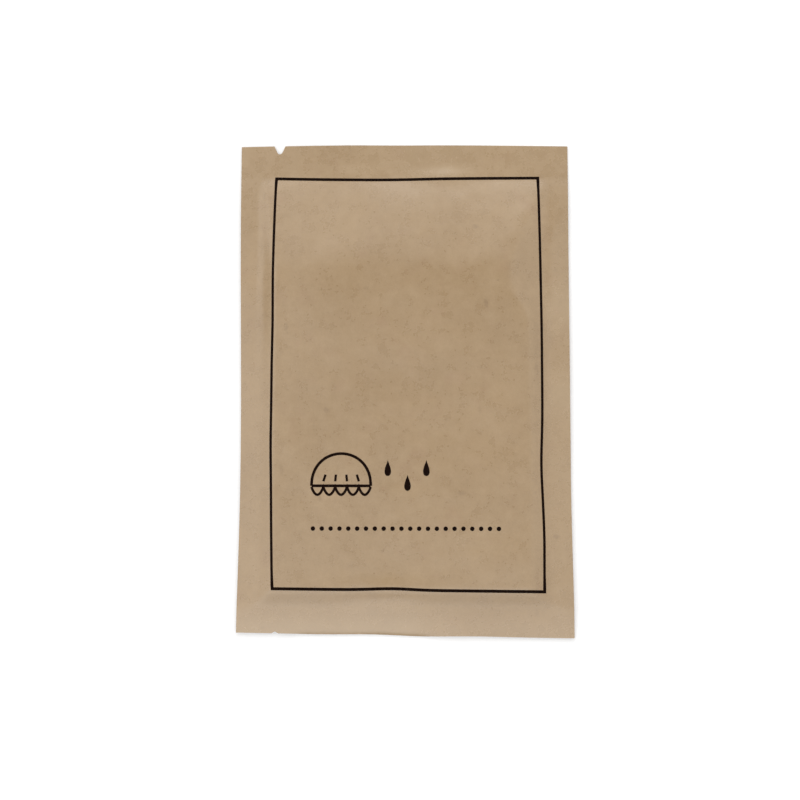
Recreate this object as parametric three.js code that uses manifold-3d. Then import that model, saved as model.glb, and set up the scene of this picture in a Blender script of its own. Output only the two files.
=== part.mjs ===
// A disposable shower cap, folded flat and heat-sealed in a kraft paper sachet that tears open on its left.
// Millimetres, +Z up. The sachet lies on its back with the printed front up. +X points to its right edge and
// +Y to its top edge, and the origin is on the table under the middle of its outline.

import * as THREE from "three";
import { mergeVertices } from "three/addons/utils/BufferGeometryUtils.js";
import Module from "manifold-3d";

// Sachet outline and the two layers of its web
const SACHET_WIDTH = 75;
const SACHET_HEIGHT = 111;
const PAPER_THICKNESS = 0.12;
const FILM_THICKNESS = 0.04;

// Heat seals, measured inwards from the edges
const SIDE_SEAL_WIDTH = 4;
const TOP_SEAL_WIDTH = 7;
const BOTTOM_SEAL_WIDTH = 6;

// Runs over which each panel rises from its seals to the flat middle. The left one ends at the tear line.
const LEFT_SLOPE = 4.75;
const RIGHT_SLOPE = 6.5;
const TOP_SLOPE = 21.5;
const BOTTOM_SLOPE = 7;
const BACK_BULGE = 1.2;

// Notch in the top edge that starts the tear line, and the nick at its end in the bottom edge
const NOTCH_WIDTH = 2.5;
const NOTCH_DEPTH = 1.9;
const NOTCH_TIP_RADIUS = 0.6;
const NICK_WIDTH = 1.5;
const NICK_DEPTH = 0.4;

// Printed line border on the front. Its left line runs beside the tear line, and the margins to the other
// edges are measured to the outside of the line.
const BORDER_LINE_WIDTH = 0.65;
const BORDER_TEAR_GAP = 0.4;
const BORDER_RIGHT_MARGIN = 6.5;
const BORDER_TOP_MARGIN = 6.95;
const BORDER_BOTTOM_MARGIN = 9.8;
const INK_THICKNESS = 0.03;

// Folded cap: a zigzag of film leaves, each standing for several plies, with the hem turned over on top
const LEAF_PAIRS = 3;
const LEAF_THICKNESS = 0.1;
const LEAF_GAP = 0.12;
const HEM_WELD_WIDTH = 5;
const PACK_SIDE_CLEARANCE = 0.5;
const PACK_FACE_CLEARANCE = 0.25;

// Elastic: one closed flat loop, doubled back on itself inside the hem
const ELASTIC_WIDTH = 1;
const ELASTIC_THICKNESS = 0.4;
const ELASTIC_RUN_GAP = 1;
const ELASTIC_INNER_GAP = 1.4;
const ELASTIC_END_INSET = 3;
const ELASTIC_CLEARANCE = 0.12;

// Fineness of the curved stretches
const SLOPE_STEPS = 5;
const FOLD_STEPS = 6;
const ARC_STEPS = 8;

// Plan lines of the sachet
const outline = {
  left: -SACHET_WIDTH / 2,
  right: SACHET_WIDTH / 2,
  bottom: -SACHET_HEIGHT / 2,
  top: SACHET_HEIGHT / 2,
};
const pocket = {
  left: outline.left + SIDE_SEAL_WIDTH,
  right: outline.right - SIDE_SEAL_WIDTH,
  bottom: outline.bottom + BOTTOM_SEAL_WIDTH,
  top: outline.top - TOP_SEAL_WIDTH,
};
const tearX = pocket.left + LEFT_SLOPE;
const plateau = {
  left: tearX,
  right: pocket.right - RIGHT_SLOPE,
  bottom: pocket.bottom + BOTTOM_SLOPE,
  top: pocket.top - TOP_SLOPE,
};
const border = {
  left: tearX - BORDER_TEAR_GAP - BORDER_LINE_WIDTH,
  right: outline.right - BORDER_RIGHT_MARGIN,
  bottom: outline.bottom + BORDER_BOTTOM_MARGIN,
  top: outline.top - BORDER_TOP_MARGIN,
};
const borderInside = {
  left: border.left + BORDER_LINE_WIDTH,
  right: border.right - BORDER_LINE_WIDTH,
  bottom: border.bottom + BORDER_LINE_WIDTH,
  top: border.top - BORDER_LINE_WIDTH,
};
const pack = {
  left: plateau.left + PACK_SIDE_CLEARANCE,
  right: plateau.right - PACK_SIDE_CLEARANCE,
  bottom: plateau.bottom + PACK_SIDE_CLEARANCE,
  top: plateau.top - PACK_SIDE_CLEARANCE,
};

// Heights: the pack sets how far the two panels stand apart
const leafPitch = LEAF_THICKNESS + LEAF_GAP;
const leafCount = 2 * LEAF_PAIRS;
const hemPitch = LEAF_THICKNESS + ELASTIC_THICKNESS + 2 * ELASTIC_CLEARANCE;
const packThickness = (leafCount - 1) * leafPitch + hemPitch + LEAF_THICKNESS;
const frontBulge = packThickness + 2 * PACK_FACE_CLEARANCE - BACK_BULGE;
const sealMidZ = BACK_BULGE + FILM_THICKNESS + PAPER_THICKNESS;
const packBottomZ = sealMidZ - BACK_BULGE + PACK_FACE_CLEARANCE;

// Materials
const kraft = new THREE.MeshStandardMaterial({ color: 0xb2997b, roughness: 0.85, metalness: 0 });
const sealFilm = new THREE.MeshStandardMaterial({ color: 0xd9d2c4, roughness: 0.35, metalness: 0 });
const ink = new THREE.MeshStandardMaterial({ color: 0x17110d, roughness: 0.7, metalness: 0 });
const capFilm = new THREE.MeshStandardMaterial({ color: 0xe9eef0, roughness: 0.25, metalness: 0 });
const elastic = new THREE.MeshStandardMaterial({ color: 0xf3f1ea, roughness: 0.8, metalness: 0 });

// Eased rise from 0 at the start of a slope to 1 at its end.
function ease(distance, run) {
  const t = Math.min(Math.max(distance / run, 0), 1);
  return t * t * (3 - 2 * t);
}

// Share of the full bulge at a plan point: 0 over the seals and 1 over the folded cap.
function crown(x, y) {
  const fromLeft = ease(x - pocket.left, LEFT_SLOPE);
  const fromRight = ease(pocket.right - x, RIGHT_SLOPE);
  const fromBottom = ease(y - pocket.bottom, BOTTOM_SLOPE);
  const fromTop = ease(pocket.top - y, TOP_SLOPE);
  return fromLeft * fromRight * fromBottom * fromTop;
}

// Height of a face of the front or back web, at a depth of web measured outwards from the pocket.
const frontFace = (depth) => (x, y) => sealMidZ + frontBulge * crown(x, y) + depth;
const backFace = (depth) => (x, y) => sealMidZ - BACK_BULGE * crown(x, y) - depth;
const level = (z) => () => z;

const paperInside = FILM_THICKNESS;
const paperOutside = FILM_THICKNESS + PAPER_THICKNESS;

// Evenly spaced lines across a slope, both ends included.
function slopeLines(from, to) {
  return Array.from({ length: SLOPE_STEPS + 1 }, (_, i) => from + ((to - from) * i) / SLOPE_STEPS);
}

// Sorted list of the different values.
function sortedLines(values) {
  return [...new Set(values)].sort((a, b) => a - b);
}

// One plan grid serves every layer, so that bonded layers share their facets.
const gridX = sortedLines([
  outline.left,
  ...slopeLines(pocket.left, plateau.left),
  border.left,
  borderInside.left,
  ...slopeLines(plateau.right, pocket.right),
  borderInside.right,
  border.right,
  outline.right,
]);
const gridY = sortedLines([
  outline.bottom,
  ...slopeLines(pocket.bottom, plateau.bottom),
  border.bottom,
  borderInside.bottom,
  ...slopeLines(plateau.top, pocket.top),
  borderInside.top,
  border.top,
  outline.top,
]);

// True for a plan point inside a box of plan lines.
function inside(box, x, y) {
  return x > box.left && x < box.right && y > box.bottom && y < box.top;
}

// Closed sheet over the grid cells that lie in the region, between a lower and an upper height.
function sheet(region, lower, upper) {
  const columns = gridX.length;
  const rows = gridY.length;
  const middleX = (pocket.left + pocket.right) / 2;
  const middleY = (pocket.bottom + pocket.top) / 2;
  const positions = [];
  for (const height of [lower, upper]) {
    for (const y of gridY) {
      for (const x of gridX) {
        positions.push(x, y, height(x, y));
      }
    }
  }
  const low = (i, j) => j * columns + i;
  const high = (i, j) => columns * rows + low(i, j);
  const midX = (i) => (gridX[i] + gridX[i + 1]) / 2;
  const midY = (j) => (gridY[j] + gridY[j + 1]) / 2;
  const kept = (i, j) =>
    i >= 0 && j >= 0 && i < columns - 1 && j < rows - 1 && region(midX(i), midY(j));
  const triangles = [];
  const quad = (a, b, c, d) => triangles.push(a, b, c, a, c, d);
  // Each cell's diagonal points to the pocket's middle, as the paper's hip creases do.
  const cell = (a, b, c, d, rising) => (rising ? quad(a, b, c, d) : quad(b, c, d, a));
  for (let j = 0; j < rows - 1; j++) {
    for (let i = 0; i < columns - 1; i++) {
      if (!kept(i, j)) continue;
      const rising = (midX(i) - middleX) * (midY(j) - middleY) > 0;
      cell(high(i, j), high(i + 1, j), high(i + 1, j + 1), high(i, j + 1), rising);
      cell(low(i, j), low(i, j + 1), low(i + 1, j + 1), low(i + 1, j), rising);
      const wall = (i0, j0, i1, j1) => quad(low(i0, j0), low(i1, j1), high(i1, j1), high(i0, j0));
      if (!kept(i, j - 1)) wall(i, j, i + 1, j);
      if (!kept(i + 1, j)) wall(i + 1, j, i + 1, j + 1);
      if (!kept(i, j + 1)) wall(i + 1, j + 1, i, j + 1);
      if (!kept(i - 1, j)) wall(i, j + 1, i, j);
    }
  }
  const geometry = new THREE.BufferGeometry();
  geometry.setAttribute("position", new THREE.Float32BufferAttribute(positions, 3));
  geometry.setIndex(triangles);
  return geometry.toNonIndexed();
}

const wasm = await Module();
wasm.setup();

// Geometry to a solid that can be cut, and back.
function solidOf(geometry) {
  const bare = new THREE.BufferGeometry();
  bare.setAttribute("position", geometry.getAttribute("position"));
  if (geometry.index) bare.setIndex(geometry.index);
  const merged = mergeVertices(bare);
  return new wasm.Manifold(
    new wasm.Mesh({
      numProp: 3,
      vertProperties: merged.attributes.position.array,
      triVerts: new Uint32Array(merged.index.array),
    }),
  );
}

function geometryOf(solid) {
  const mesh = solid.getMesh();
  const geometry = new THREE.BufferGeometry();
  geometry.setAttribute("position", new THREE.BufferAttribute(mesh.vertProperties, 3));
  geometry.setIndex(new THREE.BufferAttribute(mesh.triVerts, 1));
  return geometry;
}

// Upright punch with a plan outline, longer than the sachet is thick.
function punch(shape) {
  const reach = 2 * (sealMidZ + frontBulge + paperOutside);
  const geometry = new THREE.ExtrudeGeometry(shape, {
    depth: reach,
    bevelEnabled: false,
    curveSegments: ARC_STEPS,
  });
  geometry.translate(0, 0, -reach / 4);
  return solidOf(geometry);
}

// V notch with a round tip, whose flanks run on past the top edge.
function notchShape() {
  const half = NOTCH_WIDTH / 2;
  const tipY = outline.top - NOTCH_DEPTH + NOTCH_TIP_RADIUS;
  const rise = outline.top - tipY;
  const flank = Math.atan2(rise, half) + Math.asin(NOTCH_TIP_RADIUS / Math.hypot(half, rise));
  const past = NOTCH_DEPTH / Math.tan(flank);
  const shape = new THREE.Shape();
  shape.moveTo(tearX + half + past, outline.top + NOTCH_DEPTH);
  shape.lineTo(tearX - half - past, outline.top + NOTCH_DEPTH);
  shape.absarc(tearX, tipY, NOTCH_TIP_RADIUS, -Math.PI / 2 - flank, -Math.PI / 2 + flank, false);
  return shape;
}

// Shallow round bite in the bottom edge.
function nickShape() {
  const radius = (NICK_WIDTH ** 2 / 4 + NICK_DEPTH ** 2) / (2 * NICK_DEPTH);
  const shape = new THREE.Shape();
  shape.absarc(tearX, outline.bottom + NICK_DEPTH - radius, radius, 0, 2 * Math.PI, false);
  return shape;
}

const punches = [punch(notchShape()), punch(nickShape())];

// Web layer over a region, with the notch and the nick punched through it.
function webLayer(region, lower, upper) {
  let solid = solidOf(sheet(region, lower, upper));
  for (const tool of punches) solid = solid.subtract(tool);
  return geometryOf(solid);
}

function node(name, geometry, material) {
  const mesh = new THREE.Mesh(geometry, material);
  mesh.name = name;
  return mesh;
}

const onStrip = (x) => x < tearX;
const onPouch = (x) => x > tearX;

// The two sides of the tear line: the pouch that stays and the strip that tears off.
const sides = [
  { prefix: "", has: onPouch },
  { prefix: "strip_", has: onStrip },
];

// Kraft paper panels, front and back
function panels() {
  return sides.flatMap(({ prefix, has }) => [
    node(prefix + "front_panel", webLayer(has, frontFace(paperInside), frontFace(paperOutside)), kraft),
    node(prefix + "back_panel", webLayer(has, backFace(paperOutside), backFace(paperInside)), kraft),
  ]);
}

// Heat-seal film on the inside of each panel, where the two films haven't been fused
function liners() {
  return sides.flatMap(({ prefix, has }) => {
    const lined = (x, y) => has(x) && inside(pocket, x, y);
    return [
      node(prefix + "front_liner", sheet(lined, frontFace(0), frontFace(FILM_THICKNESS)), sealFilm),
      node(prefix + "back_liner", sheet(lined, backFace(FILM_THICKNESS), backFace(0)), sealFilm),
    ];
  });
}

// Fused bands of film that hold the panels together: two side seals, and end seals cut by the tear line
function seals() {
  const between = (x) => x > pocket.left && x < pocket.right;
  const bands = [
    ["left_seal", (x) => x < pocket.left],
    ["right_seal", (x) => x > pocket.right],
    ["top_seal", (x, y) => between(x) && onPouch(x) && y > pocket.top],
    ["bottom_seal", (x, y) => between(x) && onPouch(x) && y < pocket.bottom],
    ["strip_top_seal", (x, y) => between(x) && onStrip(x) && y > pocket.top],
    ["strip_bottom_seal", (x, y) => between(x) && onStrip(x) && y < pocket.bottom],
  ];
  const lower = level(sealMidZ - FILM_THICKNESS);
  const upper = level(sealMidZ + FILM_THICKNESS);
  return bands.map(([name, region]) => node(name, webLayer(region, lower, upper), sealFilm));
}

// Printed line border, whose left line falls on the tear strip
function printedBorder() {
  return sides.map(({ prefix, has }) => {
    const inked = (x, y) => has(x) && inside(border, x, y) && !inside(borderInside, x, y);
    const printed = sheet(inked, frontFace(paperOutside), frontFace(paperOutside + INK_THICKNESS));
    return node(prefix + "printed_border", printed, ink);
  });
}

// Stations along the zigzag of the folded film, from its free end to the hem's edge, with left-hand normals
function zigzag() {
  const stations = [];
  const foldReach = (leafPitch + LEAF_THICKNESS) / 2;
  const hemReach = (hemPitch + LEAF_THICKNESS) / 2;
  const foldLeft = pack.left + Math.max(foldReach, hemReach);
  const foldRight = pack.right - foldReach;
  const leafZ = (leaf) => packBottomZ + LEAF_THICKNESS / 2 + leaf * leafPitch;
  const fold = (x, lowZ, highZ, side) => {
    const radius = (highZ - lowZ) / 2;
    for (let step = 0; step <= FOLD_STEPS; step++) {
      const angle = -Math.PI / 2 + (Math.PI * step) / FOLD_STEPS;
      const out = new THREE.Vector2(side * Math.cos(angle), Math.sin(angle));
      const point = new THREE.Vector2(x, (lowZ + highZ) / 2).addScaledVector(out, radius);
      stations.push({ point, normal: out.multiplyScalar(-side) });
    }
  };
  const end = (x, z) =>
    stations.push({ point: new THREE.Vector2(x, z), normal: new THREE.Vector2(0, 1) });
  end(foldLeft, leafZ(0));
  for (let leaf = 0; leaf < leafCount - 1; leaf++) {
    const atRight = leaf % 2 === 0;
    fold(atRight ? foldRight : foldLeft, leafZ(leaf), leafZ(leaf + 1), atRight ? 1 : -1);
  }
  const topZ = leafZ(leafCount - 1);
  fold(foldLeft, topZ, topZ + hemPitch, -1);
  end(hemEdgeX, topZ + hemPitch);
  return stations;
}

// Elastic loop: runs lie side by side along Y, round a doubled-back loop that is closed at both lower ends
const elasticEndRadius = (ELASTIC_RUN_GAP + ELASTIC_WIDTH) / 2;
const elasticInnerRadius = (ELASTIC_INNER_GAP + ELASTIC_WIDTH) / 2;
const elasticOuterRadius = elasticInnerRadius + 2 * elasticEndRadius;
const elasticHalfSpan = elasticOuterRadius + ELASTIC_WIDTH / 2;
const elasticX = pack.left + hemPitch + LEAF_THICKNESS + elasticHalfSpan;
const elasticZ = packBottomZ + (leafCount - 1) * leafPitch + LEAF_THICKNESS + ELASTIC_CLEARANCE;
const hemEdgeX = elasticX + elasticHalfSpan + HEM_WELD_WIDTH;

// Outline of the elastic's centre line, grown to both sides by the same amount.
function elasticOutline(path, grow) {
  const lowY = pack.bottom + ELASTIC_END_INSET + elasticEndRadius + ELASTIC_WIDTH / 2;
  const highY = pack.top - ELASTIC_END_INSET - elasticHalfSpan;
  const endX = elasticInnerRadius + elasticEndRadius;
  path.absarc(elasticX, highY, elasticOuterRadius + grow, 0, Math.PI, false);
  path.absarc(elasticX - endX, lowY, elasticEndRadius + grow, Math.PI, 2 * Math.PI, false);
  path.absarc(elasticX, highY, elasticInnerRadius - grow, Math.PI, 0, true);
  path.absarc(elasticX + endX, lowY, elasticEndRadius + grow, Math.PI, 2 * Math.PI, false);
  path.closePath();
  return path;
}

// Folded cap film, drawn as a section across the leaves and run along the pack's length
function foldedFilm() {
  const stations = zigzag();
  const half = LEAF_THICKNESS / 2;
  const offset = ({ point, normal }, by) => point.clone().addScaledVector(normal, by);
  const leftSide = stations.map((station) => offset(station, half));
  const rightSide = stations.map((station) => offset(station, -half)).reverse();
  const section = new THREE.Shape([...leftSide, ...rightSide]);
  const film = new THREE.ExtrudeGeometry(section, { depth: pack.top - pack.bottom, bevelEnabled: false });
  const mesh = node("cap_film", film, capFilm);
  mesh.rotation.x = Math.PI / 2;
  mesh.position.y = pack.top;
  return mesh;
}

function elasticLoop() {
  const loop = elasticOutline(new THREE.Shape(), ELASTIC_WIDTH / 2);
  loop.holes.push(elasticOutline(new THREE.Path(), -ELASTIC_WIDTH / 2));
  const band = new THREE.ExtrudeGeometry(loop, {
    depth: ELASTIC_THICKNESS,
    bevelEnabled: false,
    curveSegments: ARC_STEPS,
  });
  const mesh = node("elastic_band", band, elastic);
  mesh.position.z = elasticZ;
  return mesh;
}

const sachet = new THREE.Group();
sachet.add(...panels(), ...liners(), ...seals(), ...printedBorder());

const foldedCap = new THREE.Group();
foldedCap.add(foldedFilm(), elasticLoop());

const packedCap = new THREE.Group();
packedCap.add(sachet, foldedCap);

export default packedCap;
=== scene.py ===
import math

import bpy
import numpy as np
from mathutils import Matrix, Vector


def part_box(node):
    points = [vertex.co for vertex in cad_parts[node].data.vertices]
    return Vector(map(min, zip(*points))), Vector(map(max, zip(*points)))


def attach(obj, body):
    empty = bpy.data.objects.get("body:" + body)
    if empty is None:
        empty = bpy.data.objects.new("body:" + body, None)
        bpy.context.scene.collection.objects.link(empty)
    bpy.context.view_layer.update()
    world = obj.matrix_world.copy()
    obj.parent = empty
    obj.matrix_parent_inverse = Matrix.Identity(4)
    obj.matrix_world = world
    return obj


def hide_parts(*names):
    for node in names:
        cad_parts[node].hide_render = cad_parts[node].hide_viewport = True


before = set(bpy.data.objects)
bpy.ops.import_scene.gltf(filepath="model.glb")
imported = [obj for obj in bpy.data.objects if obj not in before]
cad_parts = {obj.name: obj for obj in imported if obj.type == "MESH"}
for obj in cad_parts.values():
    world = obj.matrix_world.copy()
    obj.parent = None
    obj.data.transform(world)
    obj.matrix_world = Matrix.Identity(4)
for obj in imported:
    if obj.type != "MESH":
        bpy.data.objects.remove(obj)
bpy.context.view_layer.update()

# Lengths are in mm where no comment says metres, and MM turns them into metres.
MM = 0.001


def node_box(node):
    """Lowest and highest corner of a CAD node, in mm."""
    low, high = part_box(node)
    return np.array(low) / MM, np.array(high) / MM


# The paper web's main places, all taken from the CAD nodes.
strip_low, strip_high = node_box("strip_front_panel")
panel_low, panel_high = node_box("front_panel")
pack_low, pack_high = node_box("cap_film")
elastic_low, elastic_high = node_box("elastic_band")
seal_low, seal_high = node_box("left_seal")
back_film_base = node_box("back_liner")[0][2]
front_film_peak = node_box("front_liner")[1][2]

EDGE_LEFT = strip_low[0]
TEAR_X = strip_high[0]
EDGE_RIGHT = panel_high[0]
EDGE_BOTTOM = panel_low[1]
EDGE_TOP = panel_high[1]
POCKET_LEFT = seal_high[0]
POCKET_RIGHT = node_box("right_seal")[0][0]
POCKET_BOTTOM = node_box("bottom_seal")[1][1]
POCKET_TOP = node_box("top_seal")[0][1]
SEAL_MID = (seal_low[2] + seal_high[2]) / 2
FILM = (seal_high[2] - seal_low[2]) / 2
PAPER = back_film_base - node_box("back_panel")[0][2]
FRONT_RISE = front_film_peak - FILM - SEAL_MID
BACK_DROP = SEAL_MID - back_film_base - FILM

# The flat top of the bulge lies over the folded cap, a little past it at the right and bottom.
CREST_LEFT = TEAR_X
CREST_RIGHT = pack_high[0] + 0.5
CREST_BOTTOM = pack_low[1] - 2.8
CREST_TOP = pack_high[1] - 1.5
# At its top right corner the cap is folded back, so the slope there is wider.
CORNER_WIDTH = 6.0
CORNER_HEIGHT = 11.0
CORNER_FADE = 10.0
CORNER_SEAL_GAP = 1.5
# Shares of each slope that curve, at its foot by the seal and at its shoulder by the cap.
SIDE_CURVES = (0.3, 0.3)
BOTTOM_CURVES = (0.3, 0.2)
TOP_CURVES = (0.04, 0.13)
HIP_SOFTNESS = 0.07
SEAL_SOFTNESS = 1.6
# The folds in the paper fade out over this distance from the seals.
FOLD_FADE = 2.0

# The margins droop to the table, each from a hinge near its seal, most at its cut edge.
SIDE_HINGE = 0.5
SIDE_RUN = 4.5
BOTTOM_HINGE = 1.0
BOTTOM_RUN = 7.0
TOP_HINGE_Y = 30.0
LEFT_DROOP = 0.2
RIGHT_DROOP = 0.6
BOTTOM_DROOP = 0.88
TOP_DROOP = 0.85
TOP_LEAN = 0.04
DROOP_LIMIT = BACK_DROP - 0.05
# The cut bottom edge turns down, along its left half and most of all in the middle.
ROLL_RUN = 0.7
LEFT_ROLL = 0.25
MIDDLE_ROLL = 0.4

# Oval bumps in the paper: middle in x and y, reach in x and y, height.
TOP_WELT = (8.5, POCKET_TOP, 6.0, 1.6, 0.2)
BOTTOM_WELT = (-4.0, POCKET_BOTTOM, 8.0, 1.8, 0.3)
BOTTOM_CREASE = (-4.0, -45.0, 9.0, 2.0, 0.22)

# The ridge over the folded end of the cap, and the heights of the finer folds.
RIDGE_HEIGHT = 0.75
RIDGE_REACH = 15.0
BROAD_RELIEF = 0.09
MIDDLE_RELIEF = 0.05
FINE_RELIEF = 0.016
SIDE_PUCKER = 0.05
BOTTOM_PUCKER = 0.045
SEAL_PRINT = 0.02
BACK_RELIEF = 0.06

# The notch and the nick at the two ends of the tear line.
NOTCH_HALF_WIDTH = 1.25
NOTCH_DEPTH = 1.9
NOTCH_TIP_RADIUS = 0.6
NICK_HALF_WIDTH = 0.75
NICK_DEPTH = 0.4
CUT_REACH = 8.0
# How ragged the tear line is, in long and short waves, and how far from its ends that starts.
FRAY_LONG = 0.17
FRAY_SHORT = 0.1
FRAY_REACH = 0.7
FRAY_END = 3.0

# How far into the web each cut edge's unevenness reaches.
LEFT_REACH = 14.0
RIGHT_REACH = 12.0
TOP_REACH = 12.0
BOTTOM_REACH = 10.0

# The mesh of the web is finer along the tear line.
GRID_STEP = 0.6
TEAR_GRID_STEP = 0.125
TEAR_GRID_REACH = 1.5
TEAR_GRID_GAP = 0.2
TINY = 1e-6
# Edges that bend more than this many degrees are shaded sharp.
SHARP_ANGLE = 40
NEVER_SHARP = 180

# Noise is read from a seeded square lattice, from this place on.
LATTICE_SIZE = 64
LATTICE_PLACE = (29.3, 17.7)


def ease(t):
    """Smooth step from 0 to 1 as t goes from 0 to 1."""
    t = np.clip(t, 0.0, 1.0)
    return t * t * (3 - 2 * t)


def bell(value, middle, reach):
    """Bell curve that is 1 at middle and about a third at reach from it."""
    return np.exp(-(((value - middle) / reach) ** 2))


def band(value, low, high, soft):
    """1 between low and high, falling to 0 over soft on both sides."""
    return ease((value - low) / soft + 1) * ease((high - value) / soft + 1)


def bump(x, y, shape):
    """Height of an oval bump at a point."""
    middle_x, middle_y, reach_x, reach_y, height = shape
    return height * bell(x, middle_x, reach_x) * bell(y, middle_y, reach_y)


def noise(x, y, cell, seed):
    """Smooth seeded noise from -1 to 1 that changes over about one cell."""
    lattice = np.random.default_rng(seed).uniform(-1, 1, (LATTICE_SIZE, LATTICE_SIZE))
    u = np.asarray(x) / cell + LATTICE_PLACE[0]
    v = np.asarray(y) / cell + LATTICE_PLACE[1]
    column = np.floor(u).astype(int)
    row = np.floor(v).astype(int)
    across = ease(u - column)
    along = ease(v - row)
    west, east = column % LATTICE_SIZE, (column + 1) % LATTICE_SIZE
    south, north = row % LATTICE_SIZE, (row + 1) % LATTICE_SIZE
    low = lattice[west, south] * (1 - across) + lattice[east, south] * across
    high = lattice[west, north] * (1 - across) + lattice[east, north] * across
    return low * (1 - along) + high * along


def creased(x, y, cell, seed):
    """Seeded noise from -1 to 1 with sharp ridges, as in creased film."""
    return 1 - 2 * np.abs(noise(x, y, cell, seed))


def seal_distance(x, y):
    """Soft distance from the nearest seal, and 0 in the seals."""
    sides = [x - POCKET_LEFT, POCKET_RIGHT - x, y - POCKET_BOTTOM, POCKET_TOP - y]
    total = sum(np.exp(-side / SEAL_SOFTNESS) for side in sides)
    return np.maximum(-SEAL_SOFTNESS * np.log(total), 0)


def slope(t, curves):
    """Rise from 0 to 1 along a slope, straight apart from its curved foot and shoulder."""
    foot, shoulder = curves
    t = np.clip(t, 0.0, 1.0)
    grade = 1 / (1 - (foot + shoulder) / 2)
    low = grade * t**2 / (2 * foot)
    high = 1 - grade * (1 - t) ** 2 / (2 * shoulder)
    return np.where(t < foot, low, np.where(t > 1 - shoulder, high, grade * (t - foot / 2)))


def right_slope_width(y):
    """Width of the slope along the right seal, wider beside the folded corner of the cap."""
    above = ease((y - CREST_TOP + CORNER_HEIGHT) / CORNER_HEIGHT)
    below = ease((POCKET_TOP - CORNER_SEAL_GAP - y) / CORNER_FADE)
    return POCKET_RIGHT - CREST_RIGHT + CORNER_WIDTH * above * below


def crown(x, y):
    """How far the cap lifts the web at a point, from 0 in the seals to 1 over the cap."""
    sides = [
        slope((x - POCKET_LEFT) / (CREST_LEFT - POCKET_LEFT), SIDE_CURVES),
        slope((POCKET_RIGHT - x) / right_slope_width(y), SIDE_CURVES),
        slope((y - POCKET_BOTTOM) / (CREST_BOTTOM - POCKET_BOTTOM), BOTTOM_CURVES),
        slope((POCKET_TOP - y) / (POCKET_TOP - CREST_TOP), TOP_CURVES),
    ]
    lowest = -HIP_SOFTNESS * np.log(sum(np.exp(-side / HIP_SOFTNESS) for side in sides))
    return np.clip(lowest / (1 - HIP_SOFTNESS * math.log(len(sides))), 0.0, 1.0)


def left_skew(y):
    """How far the cut left edge is drawn in, most below the middle."""
    return 0.86 * bell(y, -20, np.where(y > -20, 46, 36)) - 0.16


def right_skew(y):
    """How far the cut right edge stands out, which is more towards its ends."""
    return 0.485 * ease((-20 - y) / 40) + 0.063 * ease((y - 38) / 14) - 0.258


def top_skew(x):
    """How far the cut top edge stands out, which is bowed and rises to the right."""
    return 0.29 + 0.0021 * x + 0.35 * (1 - (x / EDGE_RIGHT) ** 2)


def bottom_skew(x):
    """How far the cut bottom edge is drawn in, which slants and is wavy in the middle."""
    return 0.08 - 0.014 * x - 0.14 * np.sin((x + 1.7) / 4.3) * bell(x, 0, 20)


def left_droop(x, y):
    """Droop of the left margin, less towards the top and most below the middle."""
    outward = np.maximum((POCKET_LEFT + SIDE_HINGE - x) / SIDE_RUN, 0)
    flatter = 0.1 * ease((y - 15) / 10)
    fuller = 0.36 * bell(y, -12, 28)
    return outward * (LEFT_DROOP - flatter + fuller + 0.08 * noise(0, y, 9, seed=12))


def right_droop(x, y):
    """Droop of the right margin, which waves along its length."""
    outward = np.maximum((x - POCKET_RIGHT + SIDE_HINGE) / SIDE_RUN, 0)
    return RIGHT_DROOP * outward * (0.8 + 0.6 * noise(0, y, 13, seed=13))


def bottom_droop(x, y):
    """Droop of the bottom margin, a little less in its right half."""
    outward = np.maximum((POCKET_BOTTOM + BOTTOM_HINGE - y) / BOTTOM_RUN, 0)
    lifted = 0.2 * ease((x - 4) / 10)
    return BOTTOM_DROOP * outward * (1 - lifted) * (1 + 0.15 * noise(x, 0, 17, seed=11))


def top_droop(x, y):
    """Droop of the top, which starts far up the slope and is less in its left half."""
    upward = np.clip((y - TOP_HINGE_Y) / (POCKET_TOP - TOP_HINGE_Y), 0, 1)
    depth = TOP_DROOP * upward**2 + TOP_LEAN * np.maximum(y - POCKET_TOP, 0)
    lifted = 0.35 * ease(-x / 15)
    return depth * (1 + 0.15 * noise(x, 0, 15, seed=14)) * (1 - lifted)


def edge_roll(x, y):
    """How far the cut bottom edge turns down."""
    depth = LEFT_ROLL * band(x, -22, -4, 4) + MIDDLE_ROLL * bell(x, 1, 5)
    return depth * ease((EDGE_BOTTOM + bottom_skew(x) + ROLL_RUN - y) / ROLL_RUN)


def margin_wave(x, y):
    """Height by which front and back wave and curl together in the margins."""
    droops = (bottom_droop(x, y), left_droop(x, y), right_droop(x, y), top_droop(x, y))
    droop = sum(one**4 for one in droops) ** 0.25 + edge_roll(x, y)
    welts = bump(x, y, TOP_WELT) + bump(x, y, BOTTOM_WELT)
    return (1 - crown(x, y)) * (welts - np.minimum(droop, DROOP_LIMIT))


def relief(x, y):
    """Small unevenness of the paper, most over the cap."""
    slack = 0.3 + 0.7 * crown(x, y)
    broad = BROAD_RELIEF * noise(x, y, 15, seed=21) + MIDDLE_RELIEF * noise(x, y, 7, seed=22)
    return slack * broad + FINE_RELIEF * noise(x, y, 2.8, seed=23)


def ridge(x, y):
    """Low ridge over the folded top edge of the cap, lower at its left end."""
    along = 0.8 + 0.2 * ease((x - CREST_LEFT) / 12)
    return RIDGE_HEIGHT * along * crown(x, y) * bell(y, CREST_TOP - 3, RIDGE_REACH)


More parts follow.
